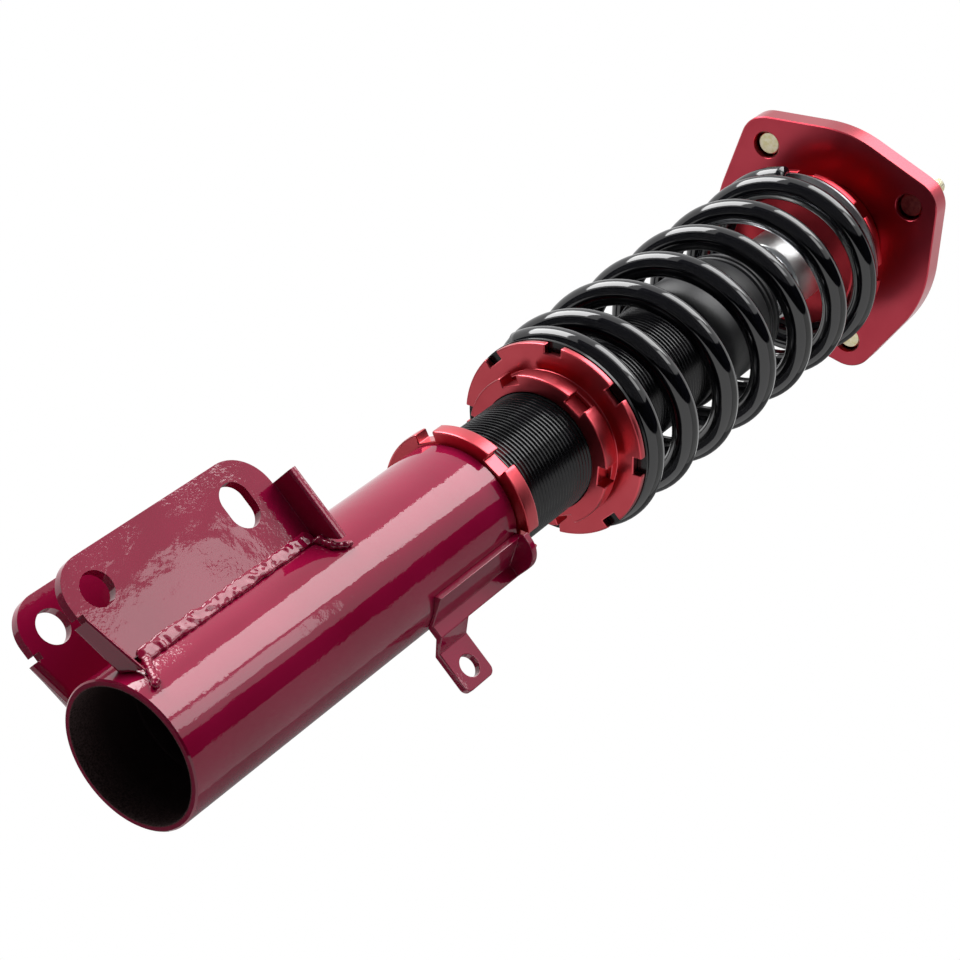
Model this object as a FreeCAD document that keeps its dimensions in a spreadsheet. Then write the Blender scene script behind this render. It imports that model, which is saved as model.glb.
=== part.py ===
import FreeCAD, Part
import math
import os
import Sketcher

# Coilover strut: clamped to the wheel knuckle by its two-plate bracket, bolted to the body by its top plate.
# The frame has +Z along the strut's axis with the origin at the centre of the tube's open foot.
# +X points from the tube towards the knuckle bracket. All lengths are in millimetres.

doc = FreeCAD.newDocument("Coilover")
sheet = doc.addObject("Spreadsheet::Sheet", "Sizes")

SIZES = [
    # outer tube with its brackets
    ("tube_length", 182.4),
    ("tube_radius", 28.0),
    ("tube_wall", 2.94),
    ("tube_foot_relief", 0.44),
    ("tube_foot_bore_depth", 30.0),
    ("tube_edge_break", 0.6),
    # knuckle bracket
    ("clevis_gap", 27.4),
    ("clevis_plate_thickness", 4.0),
    ("clevis_reach", 62.2),
    ("clevis_foot", 3.2),
    ("clevis_head", 102.7),
    ("clevis_corner_radius", 13.0),
    ("clevis_head_radius", 16.0),
    ("head_flange_inset", 0.2),
    ("foot_flange_inset", 6.7),
    ("bend_relief", 2.5),
    ("clevis_head_flange_width", 10.5),
    ("clevis_foot_flange_width", 5.0),
    ("clevis_flange_drop", 2.2),
    ("clevis_flange_rise", 4.3),
    ("clevis_root_gap", 0.05),
    ("bolt_hole_radius", 6.5),
    ("bolt_hole_height", 16.3),
    ("bolt_hole_reach", 49.2),
    ("bolt_pitch", 68.7),
    ("camber_slot_length", 17.8),
    ("camber_slot_reach", 46.0),
    ("weld_leg", 4.8),
    ("weld_gap", 0.1),
    # brake hose bracket
    ("hose_plate_thickness", 3.0),
    ("hose_plate_setback", 1.4),
    ("hose_plate_height", 52.0),
    ("hose_tab_offset", 2.0),
    ("hose_tab_width", 17.0),
    ("hose_tab_reach", 26.5),
    ("hose_tab_corner_radius", 3.0),
    ("hose_hole_radius", 4.3),
    ("hose_hole_inset", 7.7),
    ("hose_step_reach", 9.0),
    ("hose_step_rise", 6.0),
    ("hose_web_reach", 4.6),
    ("hose_lip_wall", 1.6),
    ("hose_lip_stand", 3.3),
    ("hose_lip_angle", 132.6),
    ("hose_end_height", 2.5),
    ("hose_end_corner_radius", 9.0),
    # threaded damper body
    ("thread_clearance", 0.06),
    ("thread_engagement", 120.4),
    ("body_length", 282.0),
    ("body_wall", 3.5),
    ("body_plug_thickness", 12.0),
    ("body_edge_break", 1.2),
    # lock rings and lower spring perch
    ("lock_ring_thickness", 7.0),
    ("lock_ring_wall", 7.84),
    ("visible_thread", 48.3),
    ("perch_ring_thickness", 7.6),
    ("perch_ring_wall", 7.04),
    ("ring_notch_count", 6),
    ("ring_notch_width", 8.2),
    ("ring_notch_depth", 4.0),
    ("ring_notch_angle", 20.0),
    ("ring_edge_break", 0.5),
    ("perch_hub_wall", 4.94),
    ("perch_hub_height", 3.2),
    ("perch_flange_radius", 41.2),
    ("perch_flange_thickness", 3.3),
    ("perch_pilot_height", 5.5),
    ("perch_notch_count", 8),
    ("perch_notch_width", 7.4),
    ("perch_notch_depth", 4.0),
    ("perch_notch_angle", 0.5),
    # spring and its washers
    ("spring_length", 200.6),
    ("spring_wire_radius", 5.4),
    ("spring_mean_radius", 38.5),
    ("spring_turns", 7.07),
    ("spring_foot_closing", 0.95),
    ("spring_head_closing", 1.34),
    ("spring_start_angle", 10.8),
    ("spring_foot_clearance", 0.1),
    ("spring_end_clearance", 0.3),
    ("spring_pilot_clearance", 0.6),
    ("washer_thickness", 1.2),
    ("lower_washer_radius", 41.4),
    ("upper_washer_radius", 38.9),
    # piston rod and what is stacked on it
    ("rod_radius", 11.0),
    ("rebound_reserve", 28.0),
    ("rod_stud_radius", 7.0),
    ("rod_stud_clearance", 0.05),
    ("rod_tip_stickout", 5.0),
    ("tip_chamfer", 1.0),
    ("boot_washer_thickness", 2.5),
    ("boot_washer_radius", 22.0),
    ("boot_cup_height", 17.5),
    ("boot_cup_radius", 20.5),
    ("spacer_height", 27.0),
    ("spacer_radius", 16.5),
    ("seat_hub_radius", 30.6),
    ("seat_flange_radius", 39.4),
    ("seat_flange_thickness", 3.3),
    ("seat_hub_drop", 8.2),
    ("seat_neck_height", 16.1),
    ("bump_stop_height", 15.0),
    ("bump_stop_radius", 18.0),
    ("boot_overlap", 5.0),
    ("boot_slide_gap", 0.4),
    ("boot_wall", 1.2),
    ("boot_groove_depth", 2.6),
    ("boot_rib_count", 3),
    ("boot_rib_pitch", 5.0),
    ("boot_flank_share", 0.3),
    ("boot_grip_gap", 0.02),
    # gas damper inside the body
    ("gland_height", 20.0),
    ("gland_groove_depth", 2.5),
    ("seal_height", 5.0),
    ("running_clearance", 0.04),
    ("piston_height", 14.0),
    ("piston_land_gap", 0.3),
    ("piston_band_thickness", 1.5),
    ("piston_band_height", 9.0),
    ("piston_stud_radius", 6.0),
    ("shim_stack_height", 3.0),
    ("shim_stack_radius", 16.0),
    ("piston_nut_height", 8.0),
    ("piston_nut_radius", 10.0),
    ("gas_chamber_height", 66.0),
    ("floating_piston_height", 16.0),
    ("ring_seal_height", 4.0),
    ("ring_seal_depth", 3.0),
    # top mount
    ("plate_thickness", 10.0),
    ("plate_disc_radius", 54.5),
    ("plate_gap", 0.4),
    ("stud_circle_radius", 49.6),
    ("stud_lobe_radius", 13.5),
    ("stud_angle_one", 8.4),
    ("stud_angle_two", 104.1),
    ("stud_angle_three", 205.5),
    ("stud_radius", 4.0),
    ("stud_shank_radius", 4.5),
    ("stud_head_radius", 5.3),
    ("stud_head_height", 3.5),
    ("stud_recess_radius", 6.1),
    ("stud_recess_depth", 6.0),
    ("stud_stickout", 20.0),
    ("boss_radius", 27.0),
    ("boss_height", 5.0),
    ("bearing_bore_radius", 18.0),
    ("bearing_wall", 4.0),
    ("bearing_height", 11.0),
    ("bearing_ball_radius", 14.0),
    ("bearing_sleeve_radius", 9.5),
    ("bearing_sleeve_rise", 7.0),
    ("bearing_lip_radius", 15.0),
    ("retaining_ring_thickness", 1.5),
    ("retaining_ring_width", 2.5),
    ("top_washer_thickness", 2.0),
    ("top_washer_radius", 13.0),
    ("top_nut_height", 12.0),
    ("top_nut_radius", 12.1),
]

for row, (alias, value) in enumerate(SIZES, start=1):
    sheet.set("A%d" % row, alias.replace("_", " "))
    sheet.set("B%d" % row, str(value))
    sheet.setAlias("B%d" % row, alias)
doc.recompute()

nodes = []


def size(alias):
    """The number that the sheet holds for one size."""
    return float(sheet.get(alias))


def lengths(text):
    """An expression over the sheet, from text in which each size is written by its bare name."""
    words = []
    word = ""
    for letter in text + " ":
        if letter.isalnum() or letter == "_":
            word += letter
            continue
        known = word in KNOWN
        words.append("Sizes." + word if known else word)
        words.append(letter)
        word = ""
    return "".join(words).strip()


KNOWN = {alias for alias, value in SIZES}


def bind(item, prop, text):
    item.setExpression(prop, lengths(text))


def origin_plane(body, role):
    return [plane for plane in body.Origin.OriginFeatures if plane.Role == role][0]


def new_sketch(body, name, role):
    sketch = body.newObject("Sketcher::SketchObject", name)
    sketch.AttachmentSupport = [(origin_plane(body, role), "")]
    sketch.MapMode = "FlatFace"
    return sketch


def place_vertex(sketch, edge, across, up, position=1):
    """Ties one end of an edge to two expressions; an expression "0" puts it on the axis itself."""
    for kind, axis, text in (("DistanceX", -2, across), ("DistanceY", -1, up)):
        if text == "0":
            sketch.addConstraint(Sketcher.Constraint("PointOnObject", edge, position, axis))
            continue
        guess = evaluate(text)
        index = sketch.addConstraint(Sketcher.Constraint(kind, -1, 1, edge, position, guess))
        bind(sketch, "Constraints[%d]" % index, text)


def evaluate(text):
    """The present value of an expression over the sheet."""
    value = sheet.evalExpression(lengths(text))
    return float(getattr(value, "Value", value))


def closed_outline(sketch, corners):
    """A closed chain of lines through corners, each a pair of expressions."""
    points = [FreeCAD.Vector(evaluate(across), evaluate(up), 0) for across, up in corners]
    count = len(points)
    for index in range(count):
        sketch.addGeometry(Part.LineSegment(points[index], points[(index + 1) % count]))
    for index in range(count):
        sketch.addConstraint(Sketcher.Constraint("Coincident", index, 2, (index + 1) % count, 1))
    for index, (across, up) in enumerate(corners):
        place_vertex(sketch, index, across, up)


def new_body(label, height="0"):
    body = doc.addObject("PartDesign::Body", label)
    body.Label = label
    if height != "0":
        bind(body, "Placement.Base.z", height)
    return body


def turned(label, height, profile, keep=True):
    """A piece turned about the strut's axis: profile holds radius and height above the piece's own foot."""
    body = new_body(label, height)
    sketch = new_sketch(body, label + "_profile", "XZ_Plane")
    closed_outline(sketch, profile)
    turn = body.newObject("PartDesign::Revolution", label + "_turn")
    turn.Profile = sketch
    turn.ReferenceAxis = (sketch, ["V_Axis"])
    turn.Angle = 360.0
    if keep:
        nodes.append(body)
    return body


def plain_ring(label, height, inner, outer, tall):
    return turned(label, height, [(inner, "0"), (outer, "0"), (outer, tall), (inner, tall)])


def cut_notches(body, count, width, depth, radius, angle):
    """Spanner slots through a ring's rim: one pocket, patterned round the axis."""
    sketch = new_sketch(body, body.Label + "_notch", "XY_Plane")
    bind(sketch, "AttachmentOffset.Rotation.Angle", angle)
    inner = "(%s) - (%s)" % (radius, depth)
    outer = "(%s) + (%s)" % (radius, depth)
    half = "(%s) / 2" % width
    closed_outline(sketch, [(inner, "-" + half), (outer, "-" + half), (outer, half), (inner, half)])
    pocket = body.newObject("PartDesign::Pocket", body.Label + "_notch_cut")
    pocket.Profile = sketch
    pocket.Type = "ThroughAll"
    pocket.Reversed = True
    pattern = body.newObject("PartDesign::PolarPattern", body.Label + "_notches")
    pattern.Originals = [pocket]
    pattern.Axis = (origin_plane(body, "Z_Axis"), [""])
    pattern.Angle = 360.0
    bind(pattern, "Occurrences", count)
    body.Tip = pattern
    return pattern


def cylinder(name, radius, height, foot="0", across="0", along="0"):
    item = doc.addObject("Part::Cylinder", name)
    bind(item, "Radius", radius)
    bind(item, "Height", height)
    bind(item, "Placement.Base.x", across)
    bind(item, "Placement.Base.y", along)
    bind(item, "Placement.Base.z", foot)
    return item


def cut(name, base, tool, keep=False):
    item = doc.addObject("Part::Cut", name)
    item.Base = base
    item.Tool = tool
    item.Label = name
    if keep:
        nodes.append(item)
    return item


# Heights of the stack, from the foot up, each from the sizes below it.
BODY_FOOT = "(tube_length - thread_engagement)"
BODY_HEAD = "(%s + body_length)" % BODY_FOOT
GLAND_FOOT = "(%s - gland_height)" % BODY_HEAD
FLOAT_FOOT = "(%s + body_plug_thickness + gas_chamber_height)" % BODY_FOOT
PERCH_RING_FOOT = "(tube_length + lock_ring_thickness + visible_thread)"
PERCH_FOOT = "(%s + perch_ring_thickness)" % PERCH_RING_FOOT
LOWER_WASHER_FOOT = "(%s + perch_hub_height + perch_flange_thickness)" % PERCH_FOOT
SPRING_FOOT = "(%s + washer_thickness + spring_foot_clearance)" % LOWER_WASHER_FOOT
UPPER_WASHER_FOOT = "(%s + spring_length + spring_end_clearance)" % SPRING_FOOT
SEAT_FLANGE_FOOT = "(%s + washer_thickness)" % UPPER_WASHER_FOOT
SEAT_HEAD = "(%s + seat_flange_thickness + seat_neck_height)" % SEAT_FLANGE_FOOT
PLATE_FOOT = "(%s + plate_gap)" % SEAT_HEAD
SEAT_FOOT = "(%s - seat_hub_drop)" % SEAT_FLANGE_FOOT
SPACER_FOOT = "(%s - spacer_height)" % SEAT_FOOT
BOOT_CUP_FOOT = "(%s - boot_cup_height)" % SPACER_FOOT
ROD_SHOULDER = "(%s - boot_washer_thickness)" % BOOT_CUP_FOOT
ROD_FOOT = "(%s - rebound_reserve)" % GLAND_FOOT
BOOT_FOOT = "(%s - boot_overlap)" % BODY_HEAD
SLEEVE_HEAD = "(%s + plate_thickness + bearing_sleeve_rise)" % PLATE_FOOT
ROD_TIP = "(%s + top_washer_thickness + top_nut_height + rod_tip_stickout)" % SLEEVE_HEAD
STUD_BORE = "(rod_stud_radius + rod_stud_clearance)"
THREAD_BORE = "(tube_radius - tube_wall)"
THREAD_RADIUS = "(%s - thread_clearance)" % THREAD_BORE
FOOT_BORE = "(%s + tube_foot_relief)" % THREAD_BORE
BODY_BORE = "(%s - body_wall)" % THREAD_RADIUS
PERCH_HUB_RADIUS = "(%s + perch_hub_wall)" % THREAD_BORE
PILOT_RADIUS = "(spring_mean_radius - spring_wire_radius - spring_pilot_clearance)"
WASHER_BORE = "(%s + spring_pilot_clearance / 2)" % PILOT_RADIUS

# Outer tube: open at the foot, bored to guide the threaded body above a short lead-in.
turned("strut_tube", "0", [
    (FOOT_BORE, "0"),
    ("tube_radius - tube_edge_break", "0"),
    ("tube_radius", "tube_edge_break"),
    ("tube_radius", "tube_length - tube_edge_break"),
    ("tube_radius - tube_edge_break", "tube_length"),
    (THREAD_BORE + " + tube_edge_break", "tube_length"),
    (THREAD_BORE, "tube_length - tube_edge_break"),
    (THREAD_BORE, "tube_foot_bore_depth + tube_edge_break"),
    (FOOT_BORE, "tube_foot_bore_depth"),
])

# Knuckle bracket: two pressed plates, mirror images, with flanges turned outwards at head and foot.
CLEVIS_ROOT = "sqrt(tube_radius ^ 2 - (clevis_gap / 2) ^ 2) + clevis_root_gap"
HEAD_FLANGE_REACH = "(clevis_reach - clevis_head_radius - head_flange_inset)"
FOOT_FLANGE_REACH = "(clevis_reach - clevis_corner_radius - foot_flange_inset)"
SLOT_HEIGHT = "(bolt_hole_height + bolt_pitch)"


def pad_outwards(body, sketch, name, length, side):
    pad = body.newObject("PartDesign::Pad", name)
    pad.Profile = sketch
    bind(pad, "Length", length)
    pad.Reversed = side > 0
    return pad


def clevis_plate(label, side):
    body = new_body(label)
    bind(body, "Placement.Base.y", "%d * clevis_gap / 2" % side)
    outline = new_sketch(body, label + "_outline", "XZ_Plane")
    closed_outline(outline, [
        (CLEVIS_ROOT, "clevis_foot"),
        (FOOT_FLANGE_REACH, "clevis_foot"),
        (FOOT_FLANGE_REACH, "clevis_foot + bend_relief"),
        (FOOT_FLANGE_REACH + " + bend_relief", "clevis_foot + bend_relief"),
        (FOOT_FLANGE_REACH + " + bend_relief", "clevis_foot"),
        ("clevis_reach", "clevis_foot"),
        ("clevis_reach", "clevis_head"),
        (HEAD_FLANGE_REACH, "clevis_head"),
        (HEAD_FLANGE_REACH, "clevis_head + clevis_flange_rise"),
        (CLEVIS_ROOT, "clevis_head + clevis_flange_rise"),
    ])
    pad_outwards(body, outline, label + "_blank", "clevis_plate_thickness", side)
    for name, low, reach, width in (
            ("head", "clevis_head + clevis_flange_rise - clevis_plate_thickness", HEAD_FLANGE_REACH,
             "clevis_head_flange_width"),
            ("foot", "clevis_foot - clevis_flange_drop", FOOT_FLANGE_REACH, "clevis_foot_flange_width")):
        clevis_flange(body, "%s_%s" % (label, name), low, reach, width, side)
    doc.recompute()
    rounded = body.Tip
    for corner_height, radius in (("clevis_foot", "clevis_corner_radius"), ("clevis_head", "clevis_head_radius")):
        edge = edge_along(rounded, "Y", X=evaluate("clevis_reach"), Z=evaluate(corner_height))
        fillet = body.newObject("PartDesign::Fillet", "%s_%s" % (label, radius))
        fillet.Base = (rounded, [edge])
        bind(fillet, "Radius", radius)
        doc.recompute()
        rounded = fillet
    holes = new_sketch(body, label + "_holes", "XZ_Plane")
    bolt_hole(holes, "bolt_hole_reach", "bolt_hole_height", "bolt_hole_radius")
    camber_slot(holes)
    pocket = body.newObject("PartDesign::Pocket", label + "_bolt_holes")
    pocket.Profile = holes
    pocket.Type = "ThroughAll"
    pocket.Midplane = True
    body.Tip = pocket
    nodes.append(body)
    return body


def clevis_flange(body, name, low, reach, width, side):
    """A flange turned outwards, with its inner edge on the line that just clears the tube."""
    flat = new_sketch(body, name + "_flange", "XY_Plane")
    bind(flat, "AttachmentOffset.Base.z", low)
    outer = "(clevis_plate_thickness + %s)" % width
    recede = "%s * clevis_gap / 2 / sqrt(tube_radius ^ 2 - (clevis_gap / 2) ^ 2)" % outer
    closed_outline(flat, [
        (CLEVIS_ROOT, "0"),
        (reach, "0"),
        (reach, "%d * %s" % (side, outer)),
        ("%s - %s" % (CLEVIS_ROOT, recede), "%d * %s" % (side, outer)),
    ])
    pad = body.newObject("PartDesign::Pad", name + "_strip")
    pad.Profile = flat
    bind(pad, "Length", "clevis_plate_thickness")


def edge_along(feature, direction, **place):
    """The name of the straight edge along one axis that lies at the two coordinates given."""
    for index, edge in enumerate(feature.Shape.Edges, start=1):
        middle = edge.CenterOfMass
        spans = {"X": edge.BoundBox.XLength, "Y": edge.BoundBox.YLength, "Z": edge.BoundBox.ZLength}
        at = {"X": middle.x, "Y": middle.y, "Z": middle.z}
        straight = spans[direction] > edge.Length - 1e-4
        if straight and all(abs(at[axis] - place[axis]) < 1e-3 for axis in place):
            return "Edge%d" % index
    raise ValueError("no edge along %s at %s" % (direction, place))


def bolt_hole(sketch, across, up, radius):
    centre = FreeCAD.Vector(evaluate(across), evaluate(up), 0)
    index = sketch.addGeometry(Part.Circle(centre, FreeCAD.Vector(0, 0, 1), evaluate(radius)))
    place_vertex(sketch, index, across, up, position=3)
    number = sketch.addConstraint(Sketcher.Constraint("Radius", index, evaluate(radius)))
    bind(sketch, "Constraints[%d]" % number, radius)
    return index


def camber_slot(sketch):
    """The upper bolt's slot, long across the strut so that the wheel's camber can be set."""
    half = "(camber_slot_length / 2 - bolt_hole_radius)"
    ends = []
    for sign, start, stop in ((-1, 90, 270), (1, -90, 90)):
        across = "camber_slot_reach + %d * %s" % (sign, half)
        centre = FreeCAD.Vector(evaluate(across), evaluate(SLOT_HEIGHT), 0)
        circle = Part.Circle(centre, FreeCAD.Vector(0, 0, 1), size("bolt_hole_radius"))
        arc = Part.ArcOfCircle(circle, math.radians(start), math.radians(stop))
        ends.append((sketch.addGeometry(arc), across))
    left, right = ends[0][0], ends[1][0]
    corners = [sketch.getPoint(left, 2), sketch.getPoint(right, 1)]
    lower = sketch.addGeometry(Part.LineSegment(*corners))
    corners = [sketch.getPoint(right, 2), sketch.getPoint(left, 1)]
    upper = sketch.addGeometry(Part.LineSegment(*corners))
    for first, end, second, start in ((left, 2, lower, 1), (lower, 2, right, 1),
                                      (right, 2, upper, 1), (upper, 2, left, 1)):
        sketch.addConstraint(Sketcher.Constraint("Tangent", first, end, second, start))
    for arc, across in ends:
        place_vertex(sketch, arc, across, SLOT_HEIGHT, position=3)
    number = sketch.addConstraint(Sketcher.Constraint("Radius", left, size("bolt_hole_radius")))
    bind(sketch, "Constraints[%d]" % number, "bolt_hole_radius")


clevis_plate("knuckle_plate_left", 1)
clevis_plate("knuckle_plate_right", -1)


def clevis_weld(label, side):
    """A fillet weld in the corner between a knuckle plate's outer face and the tube."""
    body = new_body(label + "_bead", "clevis_foot")
    section = new_sketch(body, label + "_section", "XY_Plane")
    face = "%d * (clevis_gap / 2 + clevis_plate_thickness)" % side
    inner = "sqrt(tube_radius ^ 2 - (clevis_gap / 2 + clevis_plate_thickness) ^ 2) - weld_gap"
    closed_outline(section, [
        (inner, face),
        (CLEVIS_ROOT + " + weld_leg", face),
        (inner + " - weld_leg / 2", face + " + %d * weld_leg" % side),
    ])
    pad = body.newObject("PartDesign::Pad", label + "_pad")
    pad.Profile = section
    bind(pad, "Length", "clevis_head + clevis_flange_rise - clevis_plate_thickness - clevis_foot - weld_gap")
    drum = cylinder(label + "_tube", "tube_radius + weld_gap / 5", "tube_length")
    strip = doc.addObject("Part::Box", label + "_foot_strip")
    bind(strip, "Length", "clevis_reach")
    bind(strip, "Width", "tube_radius")
    bind(strip, "Height", "clevis_plate_thickness - clevis_flange_drop + weld_gap")
    bind(strip, "Placement.Base.y", "clevis_gap / 2" if side > 0 else "-clevis_gap / 2 - tube_radius")
    bind(strip, "Placement.Base.z", "clevis_foot")
    clear = cut(label + "_clear", body, drum)
    cut(label, clear, strip, keep=True)


clevis_weld("knuckle_weld_left", 1)
clevis_weld("knuckle_weld_right", -1)

# Brake hose bracket: a pressing whose lip and end wall stand on the tube, stepped down to a drilled tab.
HOSE_TOP = "(tube_length - hose_plate_setback)"
HOSE_FOOT = "(%s - hose_plate_height)" % HOSE_TOP
HOSE_TAB_HEAD = "(%s + hose_tab_width)" % HOSE_FOOT
HOSE_TAB_END = "(-tube_radius - hose_tab_reach)"
HOSE_WEB_EDGE = "(-tube_radius - hose_web_reach)"
TAB_FRONT = "(hose_tab_offset + hose_plate_thickness)"
WEB_BACK = "(hose_tab_offset + hose_step_rise)"
WEB_FRONT = "(%s + hose_plate_thickness)" % WEB_BACK
LIP_ROOT = "(-sqrt((tube_radius + hose_lip_wall) ^ 2 - %s ^ 2))" % WEB_FRONT
LIP_ACROSS = "((tube_radius + hose_lip_stand) * cos(hose_lip_angle))"
LIP_ALONG = "((tube_radius + hose_lip_stand) * sin(hose_lip_angle))"
hose = new_body("hose_bracket_pressing")
section = new_sketch(hose, "hose_bracket_section", "XY_Plane")
bind(section, "AttachmentOffset.Base.z", HOSE_FOOT)
closed_outline(section, [
    (HOSE_TAB_END, "hose_tab_offset"),
    ("-tube_radius - hose_step_reach", "hose_tab_offset"),
    (HOSE_WEB_EDGE + " + hose_plate_thickness / 4", WEB_BACK),
    ("-tube_radius / 2", WEB_BACK),
    ("%s / 2" % LIP_ACROSS, "%s / 2" % LIP_ALONG),
    (LIP_ACROSS, LIP_ALONG),
    (LIP_ROOT, WEB_FRONT),
    (HOSE_WEB_EDGE, WEB_FRONT),
    ("-tube_radius - hose_step_reach", TAB_FRONT),
    (HOSE_TAB_END, TAB_FRONT),
])
strip = hose.newObject("PartDesign::Pad", "hose_bracket_strip")
strip.Profile = section
bind(strip, "Length", "hose_plate_height")
spare = new_sketch(hose, "hose_bracket_spare", "XZ_Plane")
closed_outline(spare, [
    (HOSE_TAB_END + " - hose_plate_thickness", HOSE_TAB_HEAD),
    (HOSE_WEB_EDGE, HOSE_TAB_HEAD),
    (HOSE_WEB_EDGE, HOSE_TOP + " + hose_plate_thickness"),
    (HOSE_TAB_END + " - hose_plate_thickness", HOSE_TOP + " + hose_plate_thickness"),
])
trimmed = hose.newObject("PartDesign::Pocket", "hose_bracket_trim")
trimmed.Profile = spare
trimmed.Type = "ThroughAll"
trimmed.Midplane = True
end_wall = new_sketch(hose, "hose_bracket_end_wall", "XY_Plane")
bind(end_wall, "AttachmentOffset.Base.z", HOSE_TOP + " - hose_plate_thickness")
closed_outline(end_wall, [
    (HOSE_WEB_EDGE, WEB_BACK),
    ("-tube_radius / 2", WEB_BACK),
    ("%s / 2" % LIP_ACROSS, "%s / 2" % LIP_ALONG),
    (LIP_ACROSS, LIP_ALONG),
    (LIP_ACROSS, "%s + hose_end_height" % LIP_ALONG),
    (HOSE_WEB_EDGE, "%s + hose_end_height" % LIP_ALONG),
])
pad = hose.newObject("PartDesign::Pad", "hose_bracket_end")
pad.Profile = end_wall
bind(pad, "Length", "hose_plate_thickness")
doc.recompute()
hose_blank = hose.Tip
tab_corners = [edge_along(hose_blank, "Y", X=evaluate(HOSE_TAB_END), Z=evaluate(height))
               for height in (HOSE_FOOT, HOSE_TAB_HEAD)]
tab_round = hose.newObject("PartDesign::Fillet", "hose_bracket_corners")
tab_round.Base = (hose_blank, tab_corners)
bind(tab_round, "Radius", "hose_tab_corner_radius")
doc.recompute()
end_corner = edge_along(tab_round, "Z", X=evaluate(HOSE_WEB_EDGE), Y=evaluate("%s + hose_end_height" % LIP_ALONG))
end_round = hose.newObject("PartDesign::Fillet", "hose_bracket_end_corner")
end_round.Base = (tab_round, [end_corner])
bind(end_round, "Radius", "hose_end_corner_radius")
hole_sketch = new_sketch(hose, "hose_bracket_hole", "XZ_Plane")
bolt_hole(hole_sketch, HOSE_TAB_END + " + hose_hole_inset", HOSE_FOOT + " + hose_tab_width / 2",
          "hose_hole_radius")
hole_cut = hose.newObject("PartDesign::Pocket", "hose_bracket_hole_cut")
hole_cut.Profile = hole_sketch
hole_cut.Type = "ThroughAll"
hole_cut.Midplane = True
hose.Tip = hole_cut
hose_drum = cylinder("hose_bracket_tube", "tube_radius + weld_gap / 2", "tube_length")
cut("hose_bracket", hose, hose_drum, keep=True)

# Damper body: the tube that carries the thread, closed by a plug at the foot and a gland at the head.
turned("damper_body", BODY_FOOT, [
    (BODY_BORE, "0"),
    (THREAD_RADIUS + " - body_edge_break", "0"),
    (THREAD_RADIUS, "body_edge_break"),
    (THREAD_RADIUS, "body_length - body_edge_break"),
    (THREAD_RADIUS + " - body_edge_break", "body_length"),
    (BODY_BORE, "body_length"),
])
turned("base_plug", BODY_FOOT, [
    ("0", "0"),
    (BODY_BORE + " - body_edge_break", "0"),
    (BODY_BORE, "body_edge_break"),
    (BODY_BORE, "body_plug_thickness"),
    ("0", "body_plug_thickness"),
])
ROD_BORE = "(rod_radius + running_clearance)"
SEAL_RADIUS = "(rod_radius + gland_groove_depth)"
turned("rod_gland", GLAND_FOOT, [
    (ROD_BORE, "0"),
    (BODY_BORE, "0"),
    (BODY_BORE, "gland_height"),
    (SEAL_RADIUS, "gland_height"),
    (SEAL_RADIUS, "gland_height - seal_height"),
    (ROD_BORE, "gland_height - seal_height"),
])
plain_ring("rod_seal", "(%s - seal_height)" % BODY_HEAD, ROD_BORE, SEAL_RADIUS, "seal_height")


# Lock rings with spanner slots.
def lock_ring(label, height, wall, thickness):
    radius = "(%s + %s)" % (THREAD_BORE, wall)
    ring = turned(label, height, [
        (THREAD_BORE, "0"),
        (radius + " - ring_edge_break", "0"),
        (radius, "ring_edge_break"),
        (radius, thickness + " - ring_edge_break"),
        (radius + " - ring_edge_break", thickness),
        (THREAD_BORE, thickness),
    ])
    cut_notches(ring, "ring_notch_count", "ring_notch_width", "ring_notch_depth", radius, "ring_notch_angle")


lock_ring("body_lock_ring", "tube_length", "lock_ring_wall", "lock_ring_thickness")
lock_ring("perch_lock_ring", PERCH_RING_FOOT, "perch_ring_wall", "perch_ring_thickness")

# Lower spring perch: hub against the lock ring, slotted flange, pilot inside the spring.
perch = turned("spring_perch", PERCH_FOOT, [
    (THREAD_BORE, "0"),
    (PERCH_HUB_RADIUS, "0"),
    (PERCH_HUB_RADIUS, "perch_hub_height"),
    ("perch_flange_radius - ring_edge_break", "perch_hub_height"),
    ("perch_flange_radius", "perch_hub_height + ring_edge_break"),
    ("perch_flange_radius", "perch_hub_height + perch_flange_thickness - ring_edge_break"),
    ("perch_flange_radius - ring_edge_break", "perch_hub_height + perch_flange_thickness"),
    (PILOT_RADIUS, "perch_hub_height + perch_flange_thickness"),
    (PILOT_RADIUS, "perch_hub_height + perch_flange_thickness + perch_pilot_height"),
    (THREAD_BORE, "perch_hub_height + perch_flange_thickness + perch_pilot_height"),
])
cut_notches(perch, "perch_notch_count", "perch_notch_width", "perch_notch_depth",
            "perch_flange_radius", "perch_notch_angle")
plain_ring("lower_washer", LOWER_WASHER_FOOT, WASHER_BORE, "lower_washer_radius", "washer_thickness")
plain_ring("upper_washer", UPPER_WASHER_FOOT, WASHER_BORE, "upper_washer_radius", "washer_thickness")


# Coil spring: one unbroken wire whose pitch closes up at both ends.
def eased_area(share):
    """The area under the smooth step up to a share of its run."""
    return share ** 3 - share ** 4 / 2


def spring_rise(turns_done):
    """How far the wire's centre has climbed after a number of turns."""
    turns = size("spring_turns")
    foot_closing = size("spring_foot_closing")
    head_closing = size("spring_head_closing")
    climb = size("spring_length") - 2 * size("spring_wire_radius")
    pitch = climb / (turns - foot_closing / 2 - head_closing / 2)
    if turns_done < foot_closing:
        return pitch * foot_closing * eased_area(turns_done / foot_closing)
    if turns_done > turns - head_closing:
        left = turns - turns_done
        return climb - pitch * head_closing * eased_area(left / head_closing)
    return pitch * (turns_done - foot_closing / 2)


def spring_point(turns_done):
    angle = math.radians(size("spring_start_angle")) + 2 * math.pi * turns_done
    radius = size("spring_mean_radius")
    height = size("spring_wire_radius") + spring_rise(turns_done)
    return FreeCAD.Vector(radius * math.cos(angle), radius * math.sin(angle), height)


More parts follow.
